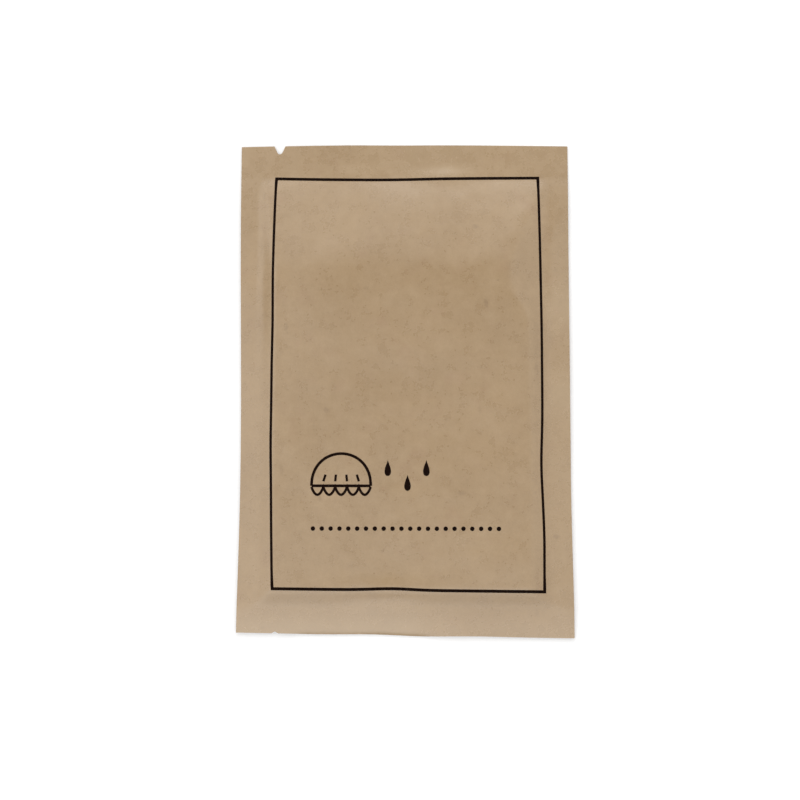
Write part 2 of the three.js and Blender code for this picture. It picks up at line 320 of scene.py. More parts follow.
def puckers(x, y):
    """Short wrinkles that start where the flat seals hold the bulging web."""
    right = band(x, POCKET_RIGHT - 1, POCKET_RIGHT + 2.5, 3) * noise(0, y, 3.4, seed=31)
    left = band(x, POCKET_LEFT - 3, POCKET_LEFT, 2.5) * noise(0, y, 3.9, seed=32)
    bottom = band(y, POCKET_BOTTOM, POCKET_BOTTOM + 3, 3) * noise(x, 0, 4.6, seed=33)
    inside = band(y, EDGE_BOTTOM + 4, EDGE_TOP - 4, 4)
    return inside * (SIDE_PUCKER * (right + left) + BOTTOM_PUCKER * bottom)


def seal_print(x, y):
    """Faint unevenness that the sealing bars leave in the margins."""
    return SEAL_PRINT * noise(x, y, 3.2, seed=41) * (1 - crown(x, y))


# Heights of the faces of the web's layers, from the printed front down to the back.
def front_inner(x, y):
    """Height of the inner face of the front film."""
    lift = FRONT_RISE * crown(x, y) + ridge(x, y)
    folds = relief(x, y) + puckers(x, y) + bump(x, y, BOTTOM_CREASE)
    folds = folds * ease(seal_distance(x, y) / FOLD_FADE)
    return SEAL_MID + margin_wave(x, y) + lift + folds + seal_print(x, y)


def front_film_top(x, y):
    """Height of the front film's face on the paper, which is also the top of the seals."""
    return front_inner(x, y) + FILM


def front_outer(x, y):
    """Height of the printed outer face of the front paper."""
    return front_film_top(x, y) + PAPER


def back_inner(x, y):
    """Height of the inner face of the back film, almost flat under the cap."""
    folds = BACK_RELIEF * np.abs(noise(x, y, 11, seed=51)) * ease(seal_distance(x, y) / FOLD_FADE)
    return SEAL_MID + margin_wave(x, y) - BACK_DROP * crown(x, y) + folds + seal_print(x, y)


def back_film_bottom(x, y):
    """Height of the back film's face on the paper, which is also the base of the seals."""
    return back_inner(x, y) - FILM


def back_outer(x, y):
    """Height of the outer face of the back paper."""
    return back_film_bottom(x, y) - PAPER


def notch_depth(offset):
    """Depth of the notch at a distance across it: two flanks tangent to a round tip."""
    centre_depth = NOTCH_DEPTH - NOTCH_TIP_RADIUS
    reach = math.hypot(NOTCH_HALF_WIDTH, centre_depth)
    turn = math.acos(NOTCH_TIP_RADIUS / reach) - math.atan2(centre_depth, NOTCH_HALF_WIDTH)
    touch = NOTCH_TIP_RADIUS * math.cos(turn)
    touch_depth = centre_depth + NOTCH_TIP_RADIUS * math.sin(turn)
    offset = np.abs(offset)
    tip = centre_depth + np.sqrt(np.maximum(NOTCH_TIP_RADIUS**2 - offset**2, 0))
    flank = touch_depth * (NOTCH_HALF_WIDTH - offset) / (NOTCH_HALF_WIDTH - touch)
    return np.where(offset < touch, tip, np.maximum(flank, 0))


def nick_depth(offset):
    """Depth of the small V nick in the bottom edge."""
    return NICK_DEPTH * np.maximum(1 - np.abs(offset) / NICK_HALF_WIDTH, 0)


def plan(x, y):
    """Where a point of the flat web lies: uneven cut edges, notch, nick and tear line."""
    left = ease((EDGE_LEFT + LEFT_REACH - x) / LEFT_REACH)
    right = ease((x - EDGE_RIGHT + RIGHT_REACH) / RIGHT_REACH)
    top = ease((y - EDGE_TOP + TOP_REACH) / TOP_REACH)
    bottom = ease((EDGE_BOTTOM + BOTTOM_REACH - y) / BOTTOM_REACH)
    offset = x - TEAR_X
    notch = notch_depth(offset) * ease((y - EDGE_TOP + CUT_REACH) / CUT_REACH)
    nick = nick_depth(offset) * ease((EDGE_BOTTOM + CUT_REACH - y) / CUT_REACH)
    ends = ease((EDGE_TOP - NOTCH_DEPTH - y) / FRAY_END) * ease((y - EDGE_BOTTOM - NICK_DEPTH) / FRAY_END)
    fray = FRAY_LONG * noise(0, y, 1.7, seed=61) + FRAY_SHORT * noise(0, y, 0.8, seed=62)
    torn = ends * fray * bell(offset, 0, FRAY_REACH)
    new_x = x + left * left_skew(y) + right * right_skew(y) + torn
    new_y = y + top * top_skew(x) + bottom * bottom_skew(x) - notch + nick
    return new_x, new_y


# How far the paper is paled, for pressed_and_sheen_share: partly by sealing, partly as painted sheen and
# painted highlights.
SHEEN_AND_PRESS_PLAIN = 1.2
SHEEN_AND_PRESS_HARD = 2.4
SHEEN_AND_PRESS_LEFT = 0.25
PAINTED_HIGHLIGHTS = 3.0
HIGHLIGHT_Y = POCKET_TOP + 1.9
UPPER_SHEEN = 0.7
# Middle and reach of painted sheen patches at the right, of painted highlight spots at the top, and of
# places at the top with less painted sheen.
RIGHT_SHEEN_PATCHES = ((18, 6), (-1, 5))
HIGHLIGHT_SPOT = (10, 4)
WEAK_HIGHLIGHT_SPOT = (-12, 3)
LESS_SHEEN_PLACES = ((-17, 9), (20, 7))


def pressed_and_sheen_share(x, y):
    """How far the paper is paled, most along the bottom: partly by sealing, partly as painted sheen and
    painted highlights.
    """
    left = SHEEN_AND_PRESS_LEFT * ease((POCKET_LEFT + 4 - x) / 6)
    # The pale patches along the right margin are painted sheen.
    sheen_patches = sum(bell(y, *patch) for patch in RIGHT_SHEEN_PATCHES)
    right = ease((x - POCKET_RIGHT + 3) / 4) * (SHEEN_AND_PRESS_PLAIN + SHEEN_AND_PRESS_HARD * sheen_patches)
    right_half = ease((x - 1) / 6)
    bottom = SHEEN_AND_PRESS_PLAIN * ease((POCKET_BOTTOM + 3 - y) / 3) * (1 - right_half)
    bottom = bottom + SHEEN_AND_PRESS_HARD * ease((POCKET_BOTTOM - y) / 5) * (1 - 0.3 * right_half)
    # Pale spots in the top margin are painted highlights.
    highlights = PAINTED_HIGHLIGHTS * (bell(x, *HIGHLIGHT_SPOT) + 0.7 * bell(x, *WEAK_HIGHLIGHT_SPOT)) * bell(y, HIGHLIGHT_Y, 1.1)
    # The upper slope is paled as painted sheen, less in two places.
    less_sheen = sum(bell(x, *place) for place in LESS_SHEEN_PLACES) * ease((y - 40) / 3)
    upper_sheen = UPPER_SHEEN * ease((y - 28) / 14) * (1 - less_sheen)
    sealed = ease((y - POCKET_TOP + 1) / 2.5) * (0.2 + 0.9 * ease((x + 18) / 10))
    return np.maximum.reduce([left, right, bottom, sealed + upper_sheen + highlights])


def grid_lines(low, high, dense=None):
    """Grid lines from low to high, closer together round the place dense."""
    count = max(2, math.ceil((high - low) / GRID_STEP))
    lines = np.linspace(low, high, count + 1)
    if dense is None:
        return lines
    fine = np.arange(-TEAR_GRID_REACH, TEAR_GRID_REACH + TINY, TEAR_GRID_STEP) + dense
    fine = fine[(fine > low - TINY) & (fine < high + TINY)]
    coarse = lines[np.abs(lines - dense) > TEAR_GRID_REACH + TEAR_GRID_GAP]
    return np.unique(np.round(np.concatenate([coarse, fine]), 6))


def grid_quads(columns, rows, start=0):
    """Quads of a grid whose points run along a row first, facing up where x and y rise."""
    column, row = np.meshgrid(np.arange(columns - 1), np.arange(rows - 1))
    first = (row * columns + column).ravel() + start
    return np.stack([first, first + 1, first + columns + 1, first + columns], axis=1)


def grid_rim(columns, rows):
    """Point numbers round a grid's edge, counterclockwise seen from above."""
    numbers = np.arange(columns * rows).reshape(rows, columns)
    return np.concatenate([numbers[0, :-1], numbers[:-1, -1], numbers[-1, :0:-1], numbers[:0:-1, 0]])


def closed_faces(columns, rows):
    """Faces of a thin closed sheet: an upper grid, a lower grid and the rim between them."""
    count = columns * rows
    upper = grid_quads(columns, rows)
    lower = grid_quads(columns, rows, count)[:, ::-1]
    rim = grid_rim(columns, rows)
    following = np.roll(rim, -1)
    sides = np.stack([rim + count, following + count, following, rim], axis=1)
    return np.concatenate([upper, lower, sides])


def grid_points(x, y, z):
    """Points of a grid from its three tables of coordinates."""
    return np.stack([x.ravel(), y.ravel(), z.ravel()], axis=1)


def add_object(name, data):
    """Puts a new object into the scene."""
    made = bpy.data.objects.new(name, data)
    bpy.context.scene.collection.objects.link(made)
    return made


def add_piece(name, points, faces, material, body, nodes=(), sharp=SHARP_ANGLE):
    """Makes one piece from points in mm, on its body, for its CAD nodes."""
    mesh = bpy.data.meshes.new(name)
    mesh.from_pydata((np.asarray(points) * MM).tolist(), [], [list(map(int, face)) for face in faces])
    mesh.shade_smooth()
    mesh.set_sharp_from_angle(angle=math.radians(sharp))
    mesh.materials.append(material)
    piece = add_object(name, mesh)
    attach(piece, body)
    if nodes:
        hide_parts(*nodes)
    return piece


def web_piece(node, lower, upper, material, body):
    """A layer of the web that replaces a CAD node and covers the same part of the plan."""
    low, high = node_box(node)
    columns = grid_lines(low[0], high[0], TEAR_X)
    rows = grid_lines(low[1], high[1])
    flat_x, flat_y = np.meshgrid(columns, rows)
    x, y = plan(flat_x.ravel(), flat_y.ravel())
    points = np.concatenate([grid_points(x, y, upper(x, y)), grid_points(x, y, lower(x, y))])
    faces = closed_faces(len(columns), len(rows))
    piece = add_piece(node + "_sheet", points, faces, material, body, [node])
    # Each point's share of paling goes to the kraft's colour. It comes partly from sealing and is partly
    # painted sheen and painted highlights.
    pressed_and_sheen = np.tile(pressed_and_sheen_share(x, y), 2)
    layer = piece.data.attributes.new("pressed_and_sheen", "FLOAT", "POINT")
    layer.data.foreach_set("value", pressed_and_sheen.astype(np.float32))


class Nodes:
    """A tree of shader nodes while it is put together."""

    def __init__(self, tree):
        self.tree = tree

    def put(self, socket, value):
        """Links a node's output to a socket, or sets a plain value on it."""
        if isinstance(value, bpy.types.NodeSocket):
            self.tree.links.new(value, socket)
        else:
            socket.default_value = value

    def add(self, kind, inputs=None, **settings):
        """A new node with its settings and inputs."""
        node = self.tree.nodes.new("ShaderNode" + kind)
        for setting, value in settings.items():
            setattr(node, setting, value)
        for socket, value in (inputs or {}).items():
            self.put(node.inputs[socket], value)
        return node

    def calculate(self, operation, first, second=0.0):
        """The result of one operation on two values."""
        return self.add("Math", {0: first, 1: second}, operation=operation).outputs[0]

    def plus(self, first, second):
        return self.calculate("ADD", first, second)

    def minus(self, first, second):
        return self.calculate("SUBTRACT", first, second)

    def times(self, first, second):
        return self.calculate("MULTIPLY", first, second)

    def most(self, *values):
        """The greatest of several values."""
        greatest = values[0]
        for value in values[1:]:
            greatest = self.calculate("MAXIMUM", greatest, value)
        return greatest

    def ramp(self, value, low, high, start=0.0, end=1.0):
        """value mapped from low..high to start..end, held at the ends."""
        inputs = {"Value": value, "From Min": low, "From Max": high, "To Min": start, "To Max": end}
        return self.add("MapRange", inputs).outputs["Result"]

    def stepped(self, value, stops):
        """Grey level for a value, by stops that each give a value and its level."""
        node = self.add("ValToRGB", {"Fac": value})
        elements = node.color_ramp.elements
        while len(elements) < len(stops):
            elements.new(0.5)
        for element, (place, level) in zip(elements, stops):
            element.position = place
            element.color = (level, level, level, 1)
        return node.outputs["Color"]


# Level of the slice through the solid patterns that a flat material shows.
PATTERN_LEVEL = 3.7


class Shader(Nodes):
    """A material while it is put together. Its patterns are measured in mm on the piece."""

    def __init__(self, name, flat=False):
        self.material = bpy.data.materials.new(name)
        self.material.use_nodes = True
        super().__init__(self.material.node_tree)
        self.surface = self.tree.nodes["Principled BSDF"]
        place = self.add("TexCoord").outputs["Object"]
        scale = (1 / MM, 1 / MM, 0 if flat else 1 / MM)
        inputs = {"Vector": place, "Scale": scale, "Location": (0, 0, PATTERN_LEVEL)}
        self.place = self.add("Mapping", inputs).outputs["Vector"]

    def set(self, **inputs):
        """Sets inputs of the surface shader, with _ for each space in their names."""
        for name, value in inputs.items():
            self.put(self.surface.inputs[name.replace("_", " ")], value)

    def turned(self, angle, scale):
        """The pattern coordinates turned by an angle in degrees and scaled per axis."""
        spin = {"Vector": self.place, "Rotation": (0, 0, math.radians(angle))}
        turn = self.add("Mapping", spin).outputs["Vector"]
        return self.add("Mapping", {"Vector": turn, "Scale": scale}).outputs["Vector"]

    def noise(self, size, detail=2.0, roughness=0.5, place=None):
        """Noise whose main features are about size mm across."""
        place = self.place if place is None else place
        inputs = {"Vector": place, "Scale": 1 / size, "Detail": detail, "Roughness": roughness}
        return self.add("TexNoise", inputs).outputs[0]

    def mix(self, factor, first, second):
        """Colour mix from first to second."""
        return self.add("Mix", {0: factor, 6: first, 7: second}, data_type="RGBA").outputs[2]

    def tinted(self, colour, mask, share, tint):
        """A colour with a share of a tint in it where the mask is 1."""
        return self.mix(self.times(mask, share), colour, tint)

    def bump(self, height, strength, distance):
        """Uneven surface from a height pattern."""
        inputs = {"Height": height, "Strength": strength, "Distance": distance * MM}
        self.set(Normal=self.add("Bump", inputs).outputs["Normal"])

    def from_middle(self, angle, length, width, detail, roughness):
        """How far drawn-out noise is from its middle, which is 0 along wavy lines."""
        place = self.turned(angle, (1 / length, 1 / width, 1 / width))
        value = self.noise(1.0, detail, roughness, place)
        return self.calculate("ABSOLUTE", self.minus(value, 0.5))

    def creases(self, angle, length, width):
        """Height from 0 to 1 of sharp creases that run about along one direction."""
        return self.ramp(self.from_middle(angle, length, width, 1.0, 0.5), 0.2, 0.0)

    def streaks(self, fibres, thickness):
        """Mask of thin wavy fibres, by their angles, lengths and widths."""
        lines = [self.from_middle(*fibre, 1.5, 0.55) for fibre in fibres]
        return self.most(*[self.ramp(line, thickness, thickness * 0.35) for line in lines])

    def flecks(self, angle, cell, stretch, share, size):
        """Mask of scattered short flecks, in a share of the cells of a cell pattern."""
        place = self.turned(angle, (1 / (cell * stretch), stretch / cell, 1 / cell))
        cells = self.add("TexVoronoi", {"Vector": place, "Scale": 1.0, "Randomness": 1.0})
        chosen = self.add("SeparateColor", {"Color": cells.outputs["Color"]}).outputs
        uneven = self.times(self.minus(self.noise(0.45), 0.5), 0.3)
        near = self.ramp(self.plus(cells.outputs["Distance"], uneven), size, size * 0.4)
        kept = self.ramp(chosen["Red"], 1 - share, 1 - share + 0.02)
        return self.times(self.times(near, kept), chosen["Green"])


KRAFT_DARK = (0.294, 0.189, 0.0925, 1.0)
KRAFT_LIGHT = (0.425, 0.29, 0.156, 1.0)
FIBRE_PALE = (0.52, 0.39, 0.25, 1.0)
FIBRE_BROWN = (0.15, 0.085, 0.042, 1.0)
FLECK_RED = (0.28, 0.14, 0.08, 1.0)
FILM_DARK = (0.44, 0.35, 0.24, 1.0)
FILM_LIGHT = (0.58, 0.48, 0.36, 1.0)
INK_BLACK = (0.0072, 0.0026, 0.0014, 1.0)
INK_THIN = (0.085, 0.055, 0.033, 1.0)
# Painted shade and painted light of the cap's creased film.
CAP_PAINTED_SHADE = (0.71, 0.76, 0.78, 1.0)
CAP_PAINTED_LIGHT = (0.87, 0.89, 0.9, 1.0)
ELASTIC_SHADE = (0.68, 0.67, 0.64, 1.0)
ELASTIC_LIGHT = (0.85, 0.84, 0.81, 1.0)
FLOOR_GREY = (0.8, 0.8, 0.8, 1.0)
WHITE = (1.0, 1.0, 1.0, 1.0)
# Fibres in the paper, by angle, length and width.
PALE_FIBRES = ((12, 4.0, 0.5), (71, 3.4, 0.45), (128, 3.8, 0.5))
BROWN_FIBRES = ((40, 3.0, 0.6), (101, 3.6, 0.55))
# Flecks in the paper, by angle, size of cell, stretch, share of the cells and size in a cell.
DARK_FLECKS = ((8, 4.4, 1.25, 0.15, 0.19), (83, 5.2, 1.5, 0.15, 0.18), (140, 2.9, 1.35, 0.1, 0.16))
LIGHT_FLECKS = (35, 4.9, 1.3, 0.45, 0.17)
# Shares in which fibres, flecks, paled places and thin ink tint their material. The paled places come
# partly from sealing and are partly painted sheen.
FIBRE_SHARE = 0.1
DARK_FLECK_SHARE = 0.3
LIGHT_FLECK_SHARE = 0.06
BLUSH_SHARE = 0.12
SHEEN_AND_PRESS_TINT = 0.1
THIN_INK_SHARE = 0.2
# How much smoother the paper is where it is paled, and how much the cap's film hides.
PRESSED_GLOSS = 0.01
CAP_ALPHA = 0.55


def kraft_material():
    """Smooth kraft paper: cloudy, full of fibres and flecks, and paler in places, partly from sealing and
    partly as painted sheen and painted highlights.
    """
    shader = Shader("kraft_paper", flat=True)
    cloud = shader.noise(14.0, 3.0, 0.55)
    mottle = shader.noise(2.4, 4.0, 0.62)
    grain = shader.noise(0.42, 2.0, 0.6)
    tone = shader.ramp(cloud, 0.25, 0.75, 0.0, 0.3)
    tone = shader.plus(tone, shader.ramp(mottle, 0.2, 0.8, 0.0, 0.42))
    tone = shader.plus(tone, shader.ramp(grain, 0.2, 0.8, 0.05, 0.23))
    colour = shader.mix(tone, KRAFT_DARK, KRAFT_LIGHT)
    pale = shader.streaks(PALE_FIBRES, 0.02)
    colour = shader.tinted(colour, pale, FIBRE_SHARE, FIBRE_PALE)
    brown = shader.streaks(BROWN_FIBRES, 0.012)
    colour = shader.tinted(colour, brown, FIBRE_SHARE, FIBRE_BROWN)
    dark = shader.most(*[shader.flecks(*kind) for kind in DARK_FLECKS])
    colour = shader.tinted(colour, dark, DARK_FLECK_SHARE, FIBRE_BROWN)
    light = shader.flecks(*LIGHT_FLECKS)
    colour = shader.tinted(colour, light, LIGHT_FLECK_SHARE, FIBRE_PALE)
    blush = shader.ramp(shader.noise(5.5, 2.0, 0.5), 0.6, 0.74)
    colour = shader.tinted(colour, blush, BLUSH_SHARE, FLECK_RED)
    pressed_and_sheen = shader.add("Attribute", attribute_name="pressed_and_sheen").outputs["Fac"]
    # The paler places are partly from sealing and partly painted sheen and painted highlights.
    colour = shader.tinted(colour, pressed_and_sheen, SHEEN_AND_PRESS_TINT, FIBRE_PALE)
    roughness = shader.ramp(mottle, 0.25, 0.75, 0.25, 0.33)
    roughness = shader.minus(roughness, shader.times(pressed_and_sheen, PRESSED_GLOSS))
    height = shader.plus(shader.times(grain, 0.7), shader.times(mottle, 0.8))
    height = shader.plus(height, shader.times(pale, 0.06))
    shader.bump(height, 0.3, 0.035)
    shader.set(Base_Color=colour, Roughness=roughness, Specular_IOR_Level=1.0)
    return shader.material


def seal_film_material():
    """Thin heat-seal film inside the paper, which shows the kraft through it."""
    shader = Shader("seal_film", flat=True)
    mottle = shader.noise(2.2, 4.0, 0.6)
    colour = shader.mix(shader.ramp(mottle, 0.25, 0.75), FILM_DARK, FILM_LIGHT)
    shader.bump(shader.noise(1.6, 3.0, 0.55), 0.4, 0.05)
    shader.set(Base_Color=colour, Roughness=shader.ramp(mottle, 0.3, 0.7, 0.2, 0.3))
    return shader.material


def ink_material():
    """Matt black print that has sunk into the paper, a little thin here and there."""
    shader = Shader("ink")
    thin = shader.ramp(shader.noise(0.5, 3.0, 0.65), 0.56, 0.74)
    colour = shader.mix(shader.times(thin, THIN_INK_SHARE), INK_BLACK, INK_THIN)
    shader.bump(shader.noise(0.45, 2.0, 0.6), 0.4, 0.03)
    roughness = shader.ramp(thin, 0.0, 1.0, 0.55, 0.7)
    shader.set(Base_Color=colour, Roughness=roughness, Specular_IOR_Level=0.03)
    return shader.material


def cap_film_material():
    """Thin translucent film, crinkled all over, with painted shade between the creases and painted light
    along them.
    """
    shader = Shader("cap_film")
    lengthwise = shader.creases(82, 24.0, 6.0)
    slanting = shader.creases(28, 16.0, 7.0)
    small = shader.creases(140, 4.0, 2.2)
    crinkle = shader.plus(shader.plus(lengthwise, slanting), shader.times(small, 0.25))
    # Painted shade between the creases and painted light along them, by the crease pattern.
    colour = shader.mix(shader.ramp(crinkle, 0.3, 1.6), CAP_PAINTED_SHADE, CAP_PAINTED_LIGHT)
    shader.bump(crinkle, 0.6, 0.2)
    shader.set(Base_Color=colour, Roughness=shader.ramp(small, 0.1, 0.9, 0.13, 0.26), Alpha=CAP_ALPHA)
    return shader.material


def elastic_material():
    """White woven elastic with fine ribs across it."""
    shader = Shader("elastic")
    weave = shader.noise(0.35, 2.0, 0.6)
    ribs = shader.noise(1.0, 1.0, 0.5, shader.turned(0, (0.6, 2.4, 0.6)))
    colour = shader.mix(shader.ramp(weave, 0.25, 0.75), ELASTIC_SHADE, ELASTIC_LIGHT)
    shader.bump(shader.plus(ribs, weave), 0.7, 0.1)
    shader.set(Base_Color=colour, Roughness=shader.ramp(weave, 0.2, 0.8, 0.6, 0.78))
    return shader.material


KRAFT = kraft_material()
SEAL_FILM = seal_film_material()
INK = ink_material()
CAP_FILM = cap_film_material()
ELASTIC = elastic_material()

for node, lower, upper, material, slot in (
    ("front_panel", front_film_top, front_outer, KRAFT, "kraft_paper"),
    ("back_panel", back_outer, back_film_bottom, KRAFT, "kraft_paper"),
    ("front_liner", front_inner, front_film_top, SEAL_FILM, "seal_film"),
    ("back_liner", back_film_bottom, back_inner, SEAL_FILM, "seal_film"),
):
    web_piece(node, lower, upper, material, "sachet")
    web_piece("strip_" + node, lower, upper, material, "tear_strip")
for node in ("right_seal", "top_seal", "bottom_seal"):
    web_piece(node, back_film_bottom, front_film_top, SEAL_FILM, "sachet")
for node in ("left_seal", "strip_top_seal", "strip_bottom_seal"):
    web_piece(node, back_film_bottom, front_film_top, SEAL_FILM, "tear_strip")

# The print: strokes and filled shapes that follow the front paper.
INK_SINK = 0.03
INK_RISE = 0.035
LINE_WIDTH = 0.67
SIDE_LINE_WIDTH = 0.57
# How far from the border's corners the side lines start to widen, and over what run.
LINE_TAPER_START = 3.0
LINE_TAPER_RUN = 2.5
# A stroke's four edges are its left and right edge on top, then below. Its sides run between these.
STROKE_SIDES = ((1, 0), (2, 3), (0, 2), (3, 1))
# Below this share a stroke's corner isn't mitred any further.
LEAST_MITRE = 0.3
# Points of a line this near the tear line give way to its end there.
TEAR_CLEARANCE = 0.05
BORDER_TOP_LEFT = (-29.45, 48.16)
BORDER_TOP_RIGHT = (30.42, 48.33)
BORDER_BOTTOM_RIGHT = (31.1, -45.75)
BORDER_BOTTOM_LEFT = (-29.2, -45.2)


def unit(vectors):
    """Vectors of the plan with their length made 1."""
    return vectors / np.linalg.norm(vectors, axis=1)[:, None]


def leftward(vectors):
    """Vectors of the plan turned a quarter turn to the left."""
    return np.column_stack([-vectors[:, 1], vectors[:, 0]])


def side_line(start, end, bow):
    """Points of one border line from start to end, pushed to its left by bow(t)."""
    start = np.array([start])
    step = np.array([end]) - start
    count = math.ceil(np.linalg.norm(step) / GRID_STEP)
    t = np.linspace(0, 1, count + 1)[:, None]
    return start + step * t + leftward(unit(step)) * bow(t)


def stroke(path, width):
    """Left and right edge points of a stroke along a path, with mitred corners."""
    steps = unit(np.diff(path, axis=0))
    before = np.concatenate([steps[:1], steps])
    after = np.concatenate([steps, steps[-1:]])
    normal = unit(leftward(before + after))
    mitre = np.maximum((normal * leftward(after)).sum(1), LEAST_MITRE)
    reach = normal * (width / 2 / mitre)[:, None]
    return path + reach, path - reach


def on_paper(flat, rise):
    """Points of the plan laid on the front paper, raised by rise."""
    return np.column_stack([flat, front_outer(flat[:, 0], flat[:, 1]) + rise])


def stroke_solid(path, width):
    """Points and faces of a thin inked stroke."""
    sides = stroke(path, width)
    count = len(path)
    points = np.concatenate([on_paper(side, rise) for rise in (INK_RISE, -INK_SINK) for side in sides])
    faces = []
    for i in range(count - 1):
        for first, second in STROKE_SIDES:
            here = i + first * count
            there = i + second * count
            faces.append((here, here + 1, there + 1, there))
    last = count - 1
    faces.append((0, 2 * count, 3 * count, count))
    faces.append((last, last + count, last + 3 * count, last + 2 * count))
    return points, faces


def fill_solid(outline):
    """Points and faces of a thin inked area inside a counterclockwise outline."""
    count = len(outline)
    middle = outline.mean(axis=0)[None, :]
    layers = [on_paper(flat, rise) for flat in (outline, middle) for rise in (INK_RISE, -INK_SINK)]
    faces = []
    for i in range(count):
        j = (i + 1) % count
        faces.append((i, j, 2 * count))
        faces.append((j + count, i + count, 2 * count + 1))
        faces.append((i, i + count, j + count, j))
    return np.concatenate(layers), faces


def joined(solids):
    """Points and faces of several solids as one mesh."""
    points = []
    faces = []
    for solid_points, solid_faces in solids:
        faces.extend([index + len(points) for index in face] for face in solid_faces)
        points.extend(solid_points)
    return points, faces


def top_bow(t):
    """How far the top line is bowed, from right to left."""
    return 0.25 * np.sin(math.pi * t) - 0.12 * np.sin(2 * math.pi * t)


def left_bow(t):
    """How far the left line is bowed, from top to bottom, with two small waves."""
    waves = 0.13 * bell(t, 0.36, 0.08) - 0.11 * bell(t, 0.66, 0.08)
    return waves - 0.6 * np.sin(math.pi * t) ** 0.6


def bottom_bow(t):
    """How far the bottom line is bowed, from left to right, by the crease above it."""
    return 0.3 * bell(t, 0.44, 0.1)


def right_bow(t):
    """How far the right line is bowed, from bottom to top, with two small waves."""
    waves = 0.34 * bell(t, 0.3, 0.08) - 0.11 * bell(t, 0.12, 0.06)
    return waves - 0.16 * np.sin(math.pi * t) + 0.1 * np.sin(2 * math.pi * t)


def cut_at_tear(line):
    """A line cut at the tear line: strip part, pouch part, and the end that both share."""
    order = np.argsort(line[:, 0])
    level = np.interp(TEAR_X, line[order, 0], line[order, 1])
    strip = line[line[:, 0] < TEAR_X - TEAR_CLEARANCE]
    pouch = line[line[:, 0] > TEAR_X + TEAR_CLEARANCE]
    return strip, pouch, np.array([[TEAR_X, level]])


def line_widths(line):
    """Width of the border line at its points: the side lines are a little finer."""
    near_top = ease((line[:, 1] - BORDER_TOP_LEFT[1] + LINE_TAPER_START) / LINE_TAPER_RUN)
    near_bottom = ease((BORDER_BOTTOM_LEFT[1] + LINE_TAPER_START - line[:, 1]) / LINE_TAPER_RUN)
    return SIDE_LINE_WIDTH + (LINE_WIDTH - SIDE_LINE_WIDTH) * (near_top + near_bottom)


left_line = side_line(BORDER_TOP_LEFT, BORDER_BOTTOM_LEFT, left_bow)
right_line = side_line(BORDER_BOTTOM_RIGHT, BORDER_TOP_RIGHT, right_bow)
top_strip, top_pouch, top_end = cut_at_tear(side_line(BORDER_TOP_RIGHT, BORDER_TOP_LEFT, top_bow))
bottom_line = side_line(BORDER_BOTTOM_LEFT, BORDER_BOTTOM_RIGHT, bottom_bow)
bottom_strip, bottom_pouch, bottom_end = cut_at_tear(bottom_line)
pouch_border = np.concatenate([bottom_end, bottom_pouch, right_line[1:], top_pouch[1:], top_end])
strip_border = np.concatenate([top_end, top_strip, left_line[1:], bottom_strip[1:], bottom_end])
for name, path, body, node in (
    ("border_print", pouch_border, "sachet", "printed_border"),
    ("strip_border_print", strip_border, "tear_strip", "strip_printed_border"),
):
    border_points, border_faces = stroke_solid(path, line_widths(path))
    add_piece(name, border_points, border_faces, INK, body, [node])

# A plain pictogram, a cap and falling drops, with a dotted rule under it.
SIGN_LEFT = -20.7
SIGN_BASE = -24.8
SIGN_LINE = 0.62
DOME_WIDTH = 13.2
DOME_HEIGHT = 7.2
DOME_FULLNESS = 0.9
HEM_LEVEL = 2.4
SCALLOPS = 5
SCALLOP_GAP = 0.25
SCALLOP_DEPTH = 1.75
SCALLOP_FULLNESS = 0.8
SCALLOP_LINE = 0.9 * SIGN_LINE
PLEAT_FOOT = HEM_LEVEL + 1.0
PLEAT_TOP = PLEAT_FOOT + 1.5
PLEAT_LEAN = 0.12
PLEAT_LINE = 0.85 * SIGN_LINE
DROP_PLACES = ((17.0, 6.4), (21.4, 3.1), (25.6, 6.4))
DROP_HEIGHT = 3.6
DROP_WIDTH = 2.1
DROP_TAPER = 1.6
RULE_LEFT = -20.3
RULE_RIGHT = 21.0
RULE_Y = -31.9
RULE_DOTS = 22
DOT_RADIUS = 0.5


def sign_point(x, y):
    """Points of the pictogram, moved to its place in the plan."""
    return np.column_stack([x + SIGN_LEFT, y + SIGN_BASE])


